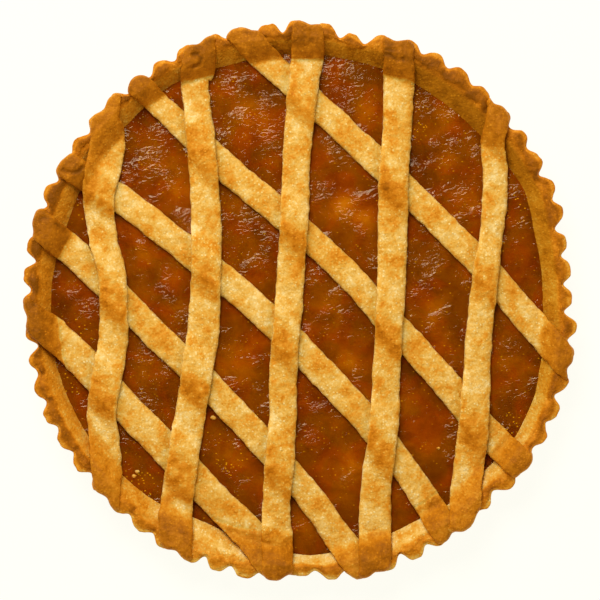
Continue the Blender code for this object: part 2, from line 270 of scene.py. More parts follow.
@dataclass(frozen=True)
class RimForm:
    """The rim as the fluted tin and the baker's fingers leave it."""

    radius: float = 130.0
    base_radius: float = 124.5
    crest_radius: float = 125.0
    height: float = 22.0
    foot_round: float = 1.5
    flutes: int = 60
    flute_depth: float = 3.8
    roundest_flute: float = 1.1
    squarest_flute: float = 2.5
    flute_drift: float = 0.03
    tip_angle: float = math.radians(0.6)
    flute_unevenness: float = 0.3
    crest_wave: float = 0.8
    jam_radius: float = 114.0
    jam_level: float = 12.5
    floor: float = 5.0
    floor_radius: float = 109.0

    def rings(self) -> tuple[Ring, ...]:
        """The rim's section.

        Returns:
            Its rings, from the foot up the outside, over the crest and down to the floor.
        """
        return (
            Ring(self.base_radius, self.foot_round, flutes=0.8, outside=0.8),
            Ring(self.radius, self.height - 3.4, flutes=1.0, outside=1.0, crest=0.7),
            Ring(self.radius - 1.4, self.height - 1.0, flutes=0.85, outside=1.0, crest=1.0),
            Ring(self.crest_radius, self.height, flutes=0.2, outside=0.8, inside=0.1, crest=1.0),
            Ring(121.6, self.height - 1.3, outside=0.4, inside=0.4, crest=1.0),
            Ring(117.6, self.jam_level + 4.2, outside=0.1, inside=0.8, crest=0.5),
            Ring(self.jam_radius, self.jam_level - 0.8, inside=1.0),
            Ring(self.floor_radius, self.floor),
        )

    def turn(self, angle: np.ndarray) -> np.ndarray:
        """The place counted in flutes, a whole number at each tip. The flutes are not all as wide."""
        even = (angle - self.tip_angle) * self.flutes / (2 * math.pi)
        return even + self.flute_drift * wave_round(angle, 10.0, 14.0)

    def flute(self, angle: np.ndarray) -> np.ndarray:
        """The shape of the flutes, some of which are squarer than others.

        Args:
            angle: directions in radians.

        Returns:
            Shares, 1 at the tip of a flute and 0 in the notch between two.
        """
        turn = self.turn(angle)
        share = hash_share(np.round(turn).astype(int) % self.flutes, 7)
        power = self.roundest_flute + (self.squarest_flute - self.roundest_flute) * share
        return 1 - np.abs(np.sin(math.pi * turn)) ** (2 * power)

    def place(self, ring: np.ndarray, angle: np.ndarray, tip: np.ndarray) -> tuple[np.ndarray, np.ndarray]:
        """Where the shell's surface is.

        Args:
            ring: ring values, with the six of Ring along the first axis.
            angle: directions in radians.
            tip: 0 in a notch to 1 at a tip.

        Returns:
            Radii and heights.
        """
        radius, height, flutes, outside, inside, crest = ring
        depth = self.flute_depth * (1 + self.flute_unevenness * wave_round(angle, 9.0, 4.0))
        reach = radius - flutes * depth * (1 - tip)
        reach = reach + outside * (looked_up(RIM_SHAPE, angle) - self.radius)
        reach = reach + inside * (looked_up(JAM_EDGE, angle) - self.jam_radius)
        return reach, height + crest * self.crest_wave * wave_round(angle, 5.0, 1.0)

    def outline(self, angle: np.ndarray, sharpness: float = 1.0) -> np.ndarray:
        """The radius of the fluted outline, or with less sharpness of one with shallower notches."""
        tip = 1 - sharpness * (1 - self.flute(angle))
        return self.place(Ring(self.radius, 0.0, flutes=1.0, outside=1.0), angle, tip)[0]

    def slope_top(self, radius: np.ndarray, angle: np.ndarray) -> np.ndarray:
        """Height of the rim's inner slope and crest, level outside the crest's notches.

        Args:
            radius: radii to read it at.
            angle: directions in radians.

        Returns:
            Heights there.
        """
        section = [self.place(ring, angle, 0.0) for ring in self.rings()[6:2:-1]]
        top = section[0][1]
        for (near, low), (far, high) in zip(section, section[1:]):
            top = top + (high - low) * np.clip((radius - near) / (far - near), 0.0, 1.0)
        return top


@dataclass(frozen=True)
class Bed:
    """What the strips lie on: the jam, and the rim at their ends."""

    rim: RimForm
    jam_wave: float = 0.4
    jam_wave_length: float = 50.0
    reach: float = 1.5
    softness: float = 3.0

    def jam_top(self, x: np.ndarray, y: np.ndarray) -> np.ndarray:
        """Height of the jam's broad swells.

        Args:
            x: places across.
            y: places along.

        Returns:
            Heights there.
        """
        size = self.jam_wave_length
        swell = [noise.noise((a / size, b / size, 3.0)) for a, b in zip(np.ravel(x), np.ravel(y))]
        return self.rim.jam_level + self.jam_wave * np.reshape(swell, np.shape(x))

    def top(self, x: np.ndarray, y: np.ndarray) -> np.ndarray:
        """Height of the bed, with a soft turn from the jam up the rim.

        Args:
            x: places across.
            y: places along.

        Returns:
            Heights there.
        """
        radius, angle = np.hypot(x, y), np.arctan2(y, x)
        rim = np.maximum(
            self.rim.slope_top(radius - self.reach, angle), self.rim.slope_top(radius + self.reach, angle)
        )
        jam = self.jam_top(x, y)
        mix = np.clip(self.softness - np.abs(rim - jam), 0.0, None) / self.softness
        return np.maximum(rim, jam) + self.softness * mix * mix / 4


@dataclass
class Route:
    """The line that a strip's middle follows, as closely spaced stations.

    Args:
        points: points that it passes, with the strip's width at each.
        spacing: how far apart its stations are.
        beyond: how far it goes straight on past its last points, where the strip is trimmed.
    """

    points: Points
    spacing: float = 0.5
    beyond: float = 12.0
    middle: np.ndarray = field(init=False)
    width: np.ndarray = field(init=False)
    sideways: np.ndarray = field(init=False)

    def __post_init__(self) -> None:
        """Joins the points by a smooth curve and spaces the stations evenly along it."""
        knots = np.array(self.points, float)
        knots = np.vstack([2 * knots[0] - knots[1], knots, 2 * knots[-1] - knots[-2]])
        curve = np.vstack([*smooth_curve(knots, (24,) * (len(knots) - 3), 0.5), knots[-2:-1]])
        for end, inner in ((0, 1), (-1, -2)):
            way = curve[end] - curve[inner]
            past = curve[end] + way * self.beyond / np.hypot(way[0], way[1])
            past[2] = curve[end][2]
            curve = np.vstack([past, curve]) if end == 0 else np.vstack([curve, past])
        steps = np.hypot(*np.diff(curve[:, :2], axis=0).T)
        along = np.concatenate([[0.0], np.cumsum(steps)])
        even = np.arange(0.0, along[-1], self.spacing)
        spaced = np.stack([np.interp(even, along, curve[:, axis]) for axis in range(3)], axis=1)
        self.middle, self.width = spaced[:, :2], spaced[:, 2]
        forward = np.gradient(self.middle, axis=0)
        forward /= np.linalg.norm(forward, axis=1, keepdims=True)
        self.sideways = np.stack([-forward[:, 1], forward[:, 0]], axis=1)


@dataclass
class Edges:
    """Finds how far places are from the edges of some strips.

    Args:
        routes: the strips' middles.
    """

    routes: list[Route]
    tree: kdtree.KDTree = field(init=False)
    half_widths: np.ndarray = field(init=False)

    def __post_init__(self) -> None:
        """Stores the stations of all the strips in one search tree."""
        middles = np.vstack([route.middle for route in self.routes])
        self.half_widths = np.concatenate([route.width for route in self.routes]) / 2
        self.tree = kdtree.KDTree(len(middles))
        for number, (x, y) in enumerate(middles):
            self.tree.insert((x, y, 0.0), number)
        self.tree.balance()

    def gap(self, x: np.ndarray, y: np.ndarray) -> np.ndarray:
        """Distance to the nearest edge, negative over a strip.

        Args:
            x: places across.
            y: places along.

        Returns:
            One distance for each place.
        """
        found = [self.tree.find((a, b, 0.0)) for a, b in zip(np.ravel(x), np.ravel(y))]
        gaps = [distance - self.half_widths[number] for _, number, distance in found]
        return np.reshape(gaps, np.shape(x))


# Materials.


def linear(colour: str) -> tuple[float, float, float, float]:
    """Turns an sRGB hex colour, such as "#f0c070", into linear red, green and blue with an alpha of 1."""
    parts = [int(colour[at : at + 2], 16) / 255 for at in (1, 3, 5)]
    return (*(part / 12.92 if part <= 0.04045 else ((part + 0.055) / 1.055) ** 2.4 for part in parts), 1.0)


def set_inputs(tree: bpy.types.NodeTree, node: bpy.types.Node, **inputs: object) -> None:
    """Sets and links a node's inputs.

    Args:
        tree: the tree that the node is in.
        node: the node.
        **inputs: what each input gets, by its name with _ for a space, or i0 for the first input by
            place: a value, an output socket, or another node, which gives its first output in use.
    """
    for name, value in inputs.items():
        by_place = name[0] == "i" and name[1:].isdigit()
        socket = node.inputs[int(name[1:]) if by_place else name.replace("_", " ")]
        if isinstance(value, bpy.types.Node):
            value = next(output for output in value.outputs if output.enabled)
        if isinstance(value, bpy.types.NodeSocket):
            tree.links.new(value, socket)
        else:
            socket.default_value = value


def add_node(
    tree: bpy.types.NodeTree, kind: str, settings: dict[str, object] | None = None, **inputs: object
) -> bpy.types.Node:
    """Adds a node with its settings and links.

    Args:
        tree: the node tree to add it to.
        kind: the node's type, without the "ShaderNode" before it.
        settings: values of the node's own properties.
        **inputs: what its inputs get, as set_inputs takes them.

    Returns:
        The new node.
    """
    made = tree.nodes.new("ShaderNode" + kind)
    for name, value in (settings or {}).items():
        setattr(made, name, value)
    set_inputs(tree, made, **inputs)
    return made


def painted(ramp: bpy.types.Node, stops: Stops) -> bpy.types.Node:
    """Gives a colour ramp its stops.

    Args:
        ramp: the ramp's node.
        stops: shares, rising, and a hex colour for each.

    Returns:
        The same node.
    """
    elements = ramp.color_ramp.elements
    while len(elements) < len(stops):
        elements.new(0.5)
    for element, (place, colour) in zip(elements, stops):
        element.position = place
        element.color = linear(colour)
    return ramp


def per_metre(size: float) -> float:
    """The scale of a pattern whose parts are this many millimetres apart."""
    return 1 / (size * MM)


# Settings of the nodes for sums and for smooth steps.
PLUS, MINUS, TIMES, TIMES_PLUS = (
    {"operation": name} for name in ("ADD", "SUBTRACT", "MULTIPLY", "MULTIPLY_ADD")
)
SMOOTH = {"interpolation_type": "SMOOTHSTEP"}


@dataclass
class Finish:
    """A material in the making. Its node method is add_node for its own tree.

    Args:
        name: the material's name.
    """

    name: str
    made: bpy.types.Material = field(init=False)
    node: Callable[..., bpy.types.Node] = field(init=False)

    def __post_init__(self) -> None:
        """Starts the material."""
        self.made = bpy.data.materials.new(self.name)
        self.made.use_nodes = True
        self.node = partial(add_node, self.made.node_tree)

    def shade(self, **inputs: object) -> bpy.types.Material:
        """Finishes the material.

        Args:
            **inputs: what its shader's inputs get, as set_inputs takes them.

        Returns:
            The finished material.
        """
        tree = self.made.node_tree
        set_inputs(tree, tree.nodes["Principled BSDF"], **inputs)
        return self.made


@dataclass(frozen=True)
class Shortcrust:
    """Baked shortcrust pastry: sugar and butter brown it from cream to nut brown where the oven's heat
    reaches, and its rubbed-in crumb leaves a fine grain with small blisters. The eye gets a matt,
    sandy surface with paler grains and golden mottles, and a dull tint where the dough stayed moist.
    The browning share also carries painted light and shade, and the dull tint also paints shade in
    the angles beside crossing strips and just before the folds' steps."""

    name: str
    stops: Stops
    roughness: float = 0.55
    gleam: float = 0.06
    crumb: float = 1.1
    crumb_shade: float = 0.58
    mottle: float = 5.5
    mottle_shade: float = 1.0
    grain: float = 1.45
    grain_light: float = 0.36
    grain_height: float = 0.35
    bump_height: float = 0.42
    damp_and_shade_tint: str = "#ccdedc"

    def make(self) -> bpy.types.Material:
        """Builds the material.

        Returns:
            The material, which follows the pieces' attributes for browning with painted light and shade, and
            for a dull, moist tint with painted shade.
        """
        finish = Finish(self.name)
        node = finish.node
        place = node("Mapping", Vector=node("TexCoord").outputs["Object"], Scale=(1.0, 1.0, 0.5))
        bake, damp = (
            node("Attribute", {"attribute_name": name}).outputs["Fac"] for name in ("bake", "damp")
        )
        crumb = node("TexNoise", Vector=place, Scale=per_metre(self.crumb), Detail=2.0, Roughness=0.6)
        mottle = node(
            "TexNoise", Vector=place, Scale=per_metre(self.mottle), Detail=3.0, Roughness=0.6, Distortion=0.5
        )
        grains = node("TexVoronoi", Vector=place, Scale=per_metre(self.grain))
        grain = node("MapRange", SMOOTH, Value=grains, From_Min=0.44, From_Max=0.12)
        weight = node("SeparateColor", Color=grains.outputs["Color"])
        grain = node("Math", TIMES, i0=grain, i1=weight)
        fade = node("MapRange", Value=bake, From_Min=0.3, From_Max=0.75, To_Min=1.0, To_Max=0.38)
        browned = bake
        for pattern, level, amount in (
            (mottle, 0.5, self.mottle_shade), (crumb, 0.5, self.crumb_shade), (grain, 0.2, -self.grain_light)
        ):
            amount = node("Math", TIMES, i0=fade, i1=amount)
            above = node("Math", MINUS, i0=pattern, i1=level)
            browned = node("Math", TIMES_PLUS, i0=above, i1=amount, i2=browned)
        base = node(
            "Mix", {"data_type": "RGBA", "blend_type": "MULTIPLY"}, i0=damp,
            i6=painted(node("ValToRGB", Fac=browned), self.stops), i7=linear(self.damp_and_shade_tint),
        )
        relief = node("Math", TIMES_PLUS, i0=grain, i1=self.grain_height, i2=crumb)
        bump = node("Bump", Height=relief, Distance=self.bump_height * MM, Strength=1.0)
        return finish.shade(
            Base_Color=base, Normal=bump, Roughness=self.roughness, Specular_IOR_Level=self.gleam
        )


@dataclass(frozen=True)
class ApricotJam:
    """Set apricot jam, baked: pectin holds it in glossy wrinkles, with orange lumps of fruit, gold fibres
    and darker caramelised parts. The eye gets a deep amber with a wet sheen broken into small streaks."""

    name: str
    amber: Stops
    red: Stops
    fibre: str = "#ecb010"
    sheen: str = "#fff4c4"
    roughness: float = 0.09
    gleam: float = 0.3
    glow: float = 0.35
    glow_reach: float = 2.2
    cloud: float = 10.0
    cloud_shade: float = 0.6
    tint: float = 13.0
    pulp: float = 2.0
    pulp_shade: float = 0.22
    pulp_height: float = 0.12
    speck: float = 1.9
    curl: float = 4.0
    curl_height: float = 0.9
    skin: float = 1.3
    skin_height: float = 0.004

    def make(self) -> bpy.types.Material:
        """Builds the material.

        Returns:
            The material, which follows the "fruit", "wrinkle" and "fibre" attributes of the jam's piece. The
            fruit attribute also carries painted shade along the strips and the rim.
        """
        finish = Finish(self.name)
        node = finish.node
        place = node("TexCoord").outputs["Object"]
        share, wrinkled, fibrous = (
            node("Attribute", {"attribute_name": name}).outputs["Fac"]
            for name in ("fruit", "wrinkle", "fibre")
        )
        turned = node(
            "Mapping", Vector=place, Rotation=(0.0, 0.0, -math.radians(WRINKLE_LEAN)), Scale=(1.0, 1.6, 1.0)
        )
        cloud, pulp, tint, curls, skin = (
            node(
                "TexNoise", Vector=where, Scale=per_metre(size), Detail=detail, Roughness=roughness,
                Distortion=distortion,
            )
            for where, size, detail, roughness, distortion in (
                (place, self.cloud, 2.0, 0.45, 0.6), (place, self.pulp, 2.0, 0.6, 0.6),
                (place, self.tint, 2.0, 0.5, 0.6), (turned, self.curl, 2.0, 0.45, 1.2),
                (place, self.skin, 1.0, 0.5, 0.0),
            )
        )
        for pattern, amount in ((cloud, self.cloud_shade), (pulp, self.pulp_shade)):
            above = node("Math", MINUS, i0=pattern, i1=0.5)
            share = node("Math", TIMES_PLUS, i0=above, i1=amount, i2=share)
        hue = node("MapRange", SMOOTH, Value=tint, From_Min=0.4, From_Max=0.66)
        base = node(
            "Mix", {"data_type": "RGBA"}, i0=hue, i6=painted(node("ValToRGB", Fac=share), self.amber),
            i7=painted(node("ValToRGB", Fac=share), self.red),
        )
        specks = node("TexVoronoi", Vector=turned, Scale=per_metre(self.speck))
        small = node("MapRange", Value=specks, From_Min=0.26, From_Max=0.12)
        drawn = node("SeparateColor", Color=specks.outputs["Color"])
        few = node("Math", PLUS, i0=drawn, i1=fibrous)
        few = node("MapRange", Value=few, From_Min=0.78, From_Max=1.1)
        gold = node("Math", TIMES, i0=small, i1=few)
        base = node("Mix", {"data_type": "RGBA"}, i0=gold, i6=base, i7=linear(self.fibre))
        height = node("Math", TIMES, i0=wrinkled, i1=self.curl_height)
        ridges = node("Math", TIMES, i0=curls, i1=height)
        relief = node("Math", TIMES_PLUS, i0=skin, i1=self.skin_height, i2=ridges)
        bits = node("MapRange", Value=pulp, From_Min=0.6, From_Max=0.8, To_Max=self.pulp_height)
        relief = node("Math", PLUS, i0=relief, i1=bits)
        return finish.shade(
            Base_Color=base, Normal=node("Bump", Height=relief, Distance=1.0 * MM, Strength=1.0),
            Roughness=self.roughness, Specular_IOR_Level=self.gleam, Specular_Tint=linear(self.sheen),
            Subsurface_Weight=self.glow, Subsurface_Radius=(1.0, 0.4, 0.1),
            Subsurface_Scale=self.glow_reach * MM,
        )


BAKED = (
    (0.0, "#f2dc94"), (0.2, "#e8c265"), (0.38, "#dfac42"), (0.54, "#da9324"), (0.68, "#ca7e12"),
    (0.8, "#b0690a"), (0.9, "#9a5a06"), (1.0, "#804a04"),
)
STRIP_PASTRY = Shortcrust(name="pale_shortcrust", stops=BAKED)
CRUST_PASTRY = Shortcrust(name="browned_shortcrust", stops=BAKED, bump_height=0.5, damp_and_shade_tint="#d2ead2")
JAM_FINISH = ApricotJam(
    name="apricot_jam",
    amber=((0.0, "#4c2200"), (0.3, "#743900"), (0.5, "#8c4800"), (0.7, "#a65a00"), (1.0, "#c88008")),
    red=((0.0, "#541e00"), (0.3, "#7c3200"), (0.5, "#954100"), (0.7, "#aa5600"), (1.0, "#cc7c08")),
)


# Pieces.


def write_piece(
    name: str, bm: bmesh.types.BMesh, finish: bpy.types.Material, nodes: tuple[str, ...] = ()
) -> None:
    """Makes an object of a finished bmesh and fastens it to the frame.

    Args:
        name: the piece's name.
        bm: its mesh, in millimetres, which is freed.
        finish: its material.
        nodes: the CAD nodes that it stands for.
    """
    bmesh.ops.recalc_face_normals(bm, faces=bm.faces)
    bmesh.ops.scale(bm, vec=(MM, MM, MM), verts=bm.verts)
    mesh = bpy.data.meshes.new(name)
    bm.to_mesh(mesh)
    bm.free()
    mesh.shade_smooth()
    mesh.materials.append(finish)
    made = bpy.data.objects.new(name, mesh)
    bpy.context.scene.collection.objects.link(made)
    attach(made, "root")
    if nodes:
        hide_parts(*nodes)
    mesh.calc_loop_triangles()
    LOG.info("%s: %d triangles", name, len(mesh.loop_triangles))


# How browned the rim's crest and its inner slope are in each direction, in hundredths.
CREST_BAKE = (
    (0, 76), (40, 86), (80, 79), (110, 79), (140, 82), (180, 89), (220, 73), (250, 57), (290, 57),
    (330, 73),
)
SLOPE_BAKE = ((0, 63), (45, 84), (90, 71), (135, 55), (180, 67), (225, 51), (270, 24), (315, 36))


@dataclass(frozen=True)
class Shell:
    """The fluted shell of browned shortcrust, from its underside to the floor under the jam."""

    rim: RimForm
    finish: bpy.types.Material
    steps: int = 1200
    span_steps: tuple[int, ...] = (16, 8, 9, 8, 12, 13, 2)
    lobe_height: float = 0.35
    valley: float = 0.32
    crease: float = 0.85
    crease_width: float = 1.1
    crease_length: float = 4.5
    crease_spread: float = 5.0
    broad: float = 7.0
    middling: float = 3.2
    small: float = 1.5
    lump: float = 0.55
    crack: float = 0.35
    crack_spacing: float = 4.5
    crack_share: float = 0.13
    cracked_places: float = 9.0
    dampness: float = 0.45
    bead_width: float = 6.8
    bead_raggedness: float = 3.2
    bead_lumps: float = 9.0
    bead_height: float = 0.55
    wall_bake: float = 0.55
    seed: int = 11

    def section(self) -> np.ndarray:
        """The shell's whole section.

        Returns:
            Closely spaced rings, from the middle of the underside to the middle of the floor.
        """
        rings = np.array(self.rim.rings())
        curve = smooth_curve(np.vstack([rings[0], rings, rings[-1]]), self.span_steps, 0.4)
        under = [Ring(radius, 0.0) for radius in (0.0, 40.0, 80.0, 115.0)]
        foot = [
            Ring(self.rim.base_radius - back, up, flutes=0.8, outside=0.8)
            for back, up in ((1.5, 0.0), (0.75, 0.2), (0.2, 0.75))
        ]
        return np.vstack([under, foot, *curve, rings[-1:], [Ring(0.0, self.rim.floor)]])

    def relief(
        self, angle: np.ndarray, radius: np.ndarray, height: np.ndarray, band: dict[str, np.ndarray]
    ) -> tuple[np.ndarray, np.ndarray, np.ndarray]:
        """The crust's lumps, cracks and grain.

        Args:
            angle: directions of the vertices.
            radius: their radii.
            height: their heights.
            band: shares of lip, crest, slope and wall for each vertex, by name.

        Returns:
            How far each vertex moves outwards, how far up, and a share of browning for its relief, with
            painted shade in its cracks and creases.
        """
        place = stacked(radius * np.cos(angle), radius * np.sin(angle), 0.5 * height)
        lumps, fine = Unevenness(self.seed), Unevenness(self.seed + 1)
        turn = self.rim.turn(angle)
        number = np.round(turn).astype(int) % self.rim.flutes
        tip = self.rim.flute(angle)
        notch = np.floor(turn).astype(int)
        aside = np.abs(turn - notch - 0.5) * 2 * math.pi / self.rim.flutes * radius
        depth = self.rim.outline(angle, 0.0) - radius
        deep = hash_share(notch % self.rim.flutes, self.seed + 5)
        reach = self.crease_length + self.crease_spread * deep
        crease = np.clip(1 - aside / self.crease_width, 0.0, 1.0) * deep
        crease = crease * smoothstep(reach, reach - 3.0, depth)
        lobe = (hash_share(number, self.seed) - 0.5) * 2 * self.lobe_height * tip
        broad = lumps.at(place, self.broad)
        middling = lumps.at(place + 50.0, self.middling)
        small = fine.at(place, self.small)
        crack_line = 1 - np.abs(fine.at(place + 90.0, self.crack_spacing)) / self.crack_share
        cracked = np.clip(crack_line, 0.0, 1.0)
        cracked = cracked * smoothstep(0.1, 0.5, lumps.at(place + 140.0, self.cracked_places))
        edge = band["lip"] + band["crest"]
        up = edge * lobe - edge * self.crease * crease
        up -= edge * self.valley * (1 - tip) ** 1.4
        up += (edge + 0.7 * band["slope"]) * (self.lump * broad + (0.25 + 0.15 * edge) * middling)
        up += (edge + 0.6 * band["slope"]) * 0.2 * small - edge * self.crack * cracked
        out = (band["wall"] + band["lip"]) * (0.45 * broad + 0.3 * middling + 0.1 * small)
        ragged = fine.layers(place + 200.0, self.bead_lumps)
        on_top = edge + band["slope"]
        bead = on_top * smoothstep(0.7, -0.7, depth - self.bead_width - self.bead_raggedness * ragged)
        up += self.bead_height * bead
        toned = 0.04 * broad + (0.12 * band["crest"] + 0.05 * band["slope"]) * ragged
        toned += 0.05 * edge * middling
        toned += 0.1 * bead * (1 - band["lip"]) - 0.05 * on_top
        toned += 0.06 * edge * (hash_share(number, self.seed + 9) - 0.5) * tip
        # Painted shade: the cracks and creases on the crest and the lip are painted browner.
        return out, up, toned + 0.08 * (cracked + crease) * edge

    def build(self) -> None:
        """Rolls a grid round the section and presses the flutes, the lumps and the cracks into it."""
        rings = self.section()
        bm = bmesh.new()
        bmesh.ops.create_grid(bm, x_segments=self.steps, y_segments=len(rings) - 1, size=math.pi)
        start = np.array([vert.co for vert in bm.verts])
        angle = start[:, 0]
        which = np.round((start[:, 1] / math.pi + 1) / 2 * (len(rings) - 1)).astype(int)
        radius, height = self.rim.place(rings[which].T, angle, self.rim.flute(angle))
        middle = rings[which, 0] < 1.0
        rings_below = len(rings) - 2 - sum(self.span_steps)
        bounds = np.cumsum((rings_below, *self.span_steps))
        past_foot = smoothstep(bounds[0], bounds[0] + 3, which)
        to_lip = smoothstep(bounds[1] - 3, bounds[1] + 2, which)
        to_crest = smoothstep(bounds[2] - 1, bounds[2] + 5, which)
        to_slope = smoothstep(bounds[3] + 4, bounds[4] + 3, which)
        to_floor = smoothstep(bounds[6] - 2, bounds[6], which)
        band = {
            "wall": past_foot * (1 - to_lip), "lip": to_lip * (1 - to_crest),
            "crest": to_crest * (1 - to_slope), "slope": to_slope * (1 - to_floor),
        }
        out, up, toned = self.relief(angle, radius, height, band)
        radius, height = np.where(middle, 0.0, radius + out), height + up
        layers = [bm.verts.layers.float.new(name) for name in ("bake", "damp")]
        browning = self.browning(angle, height, band) + toned
        olive = smoothstep(35.0, 60.0, looked_up(SLOPE_BAKE, angle)) * (0.7 + 0.5 * np.cos(angle - 0.6))
        damp = self.dampness * band["slope"] * olive
        for vert, angle_here, reach, level, *shares in zip(bm.verts, angle, radius, height, browning, damp):
            vert.co = (reach * math.cos(angle_here), reach * math.sin(angle_here), level)
            vert[layers[0]], vert[layers[1]] = shares
        bmesh.ops.remove_doubles(bm, verts=bm.verts, dist=0.01)
        write_piece("crust_shell", bm, self.finish, ("crust",))

    def browning(self, angle: np.ndarray, height: np.ndarray, band: dict[str, np.ndarray]) -> np.ndarray:
        """How browned the crust is, from 0 to 1, with a painted highlight along the outer lip.

        Args:
            angle: directions of the vertices.
            height: their heights.
            band: shares of lip, crest, slope and wall for each vertex, by name.

        Returns:
            One share for each vertex.
        """
        to_jam = smoothstep(self.rim.jam_level + 5.0, self.rim.jam_level + 0.5, height)
        # Painted highlight: the outer lip is painted paler, as if lit.
        top = looked_up(CREST_BAKE, angle) / 100 - 0.18 * band["lip"]
        slope = looked_up(SLOPE_BAKE, angle) / 100 - 0.08 * to_jam
        base = top + (slope - top) * band["slope"]
        return np.where(band["wall"] > 0.5, self.wall_bake, base)


@dataclass(frozen=True)
class Fold:
    """How one end of a strip turns up the rim: where its browned part starts, how that edge slants, how
    far it stands proud, how brown it is and how gradually it browns."""

    radius: float = 113.0
    slant: float = 0.0
    step: float = 0.7
    brown: float = 0.42
    blend: float = 0.45


# How the first and the last end of each strip are folded.
LOWER_FOLDS = (
    (Fold(113.5, step=0.3, brown=0.38, blend=1.8), Fold(113.0, step=0.5, brown=0.36, blend=1.4)),
    (Fold(114.0, step=0.5, brown=0.4, blend=1.6), Fold(113.0, step=0.5, brown=0.32, blend=1.0)),
    (Fold(112.0, slant=2.0, step=1.1, brown=0.4, blend=0.6), Fold(110.5, step=1.0, brown=0.3)),
    (Fold(112.3, slant=-2.0, step=0.8), Fold(114.5, step=0.5, brown=0.28, blend=1.5)),
    (Fold(113.0), Fold(109.5, step=0.8, brown=0.3, blend=0.8)),
)
UPPER_FOLDS = (
    (Fold(112.0, step=0.3, brown=0.34, blend=3.0), Fold(112.5, step=0.3, brown=0.3, blend=2.5)),
    (Fold(114.0, slant=-1.8, step=0.9, blend=0.5), Fold(111.0, step=0.3, brown=0.34, blend=3.0)),
    (Fold(112.6, step=1.0, blend=0.4), Fold(107.5, slant=1.5, step=0.9, brown=0.34, blend=1.7)),
    (Fold(113.4, slant=1.0, step=0.9, brown=0.44, blend=0.4), Fold(113.0, step=0.9, brown=0.38, blend=1.3)),
    (Fold(114.0, slant=3.3, step=0.4, brown=0.36, blend=3.0), Fold(113.6, step=0.5, brown=0.28, blend=1.5)),
)


@dataclass(frozen=True)
class Crease:
    """A crease where the dough was pinched, along a line of places."""

    places: Shape
    depth: float = 0.7
    width: float = 0.9

    def press(self, x: np.ndarray, y: np.ndarray) -> np.ndarray:
        """How deep the crease is at some places.

        Args:
            x: the places across.
            y: the places along.

        Returns:
            Depths there.
        """
        nearest = np.full(x.shape, np.inf)
        for (x0, y0), (x1, y1) in zip(self.places, self.places[1:]):
            length = math.hypot(x1 - x0, y1 - y0)
            run = np.clip(((x - x0) * (x1 - x0) + (y - y0) * (y1 - y0)) / length**2, 0.0, 1.0)
            nearest = np.minimum(nearest, np.hypot(x - x0 - run * (x1 - x0), y - y0 - run * (y1 - y0)))
        return self.depth * np.exp(-((nearest / self.width) ** 2))


# The creases at the ends of the strips, by the strip's name.
CREASES = {
    "lower_strip_1": (Crease(((-29.6, 118.1), (-25.5, 114.6)), depth=0.4),),
    "lower_strip_3": (Crease(((-109.4, 60.5), (-106.0, 59.1), (-102.5, 59.9), (-100.7, 61.7)), depth=1.0),),
    "lower_strip_4": (Crease(((-119.2, 38.9), (-115.9, 38.2), (-112.5, 35.4), (-108.5, 31.5)), depth=0.5),),
    "lower_strip_5": (Crease(((-123.6, -0.1), (-122.7, -2.0)), depth=0.8),),
    "upper_strip_2": (
        Crease(((-49.5, 113.9), (-47.0, 114.1), (-45.6, 112.0), (-46.3, 109.2), (-49.1, 108.3)), depth=1.1),
    ),
    "upper_strip_3": (
        Crease(((5.2, 124.6), (5.8, 119.7)), depth=0.6, width=1.3),
        Crease(((-14.6, -109.0), (-11.2, -106.4), (-5.4, -112.6)), depth=0.5),
    ),
    "upper_strip_4": (
        Crease(((39.1, 114.2), (42.1, 113.7), (44.9, 111.3), (47.9, 111.9)), depth=0.9),
        Crease(((40.0, 116.3), (44.9, 116.0)), depth=0.6),
    ),
}


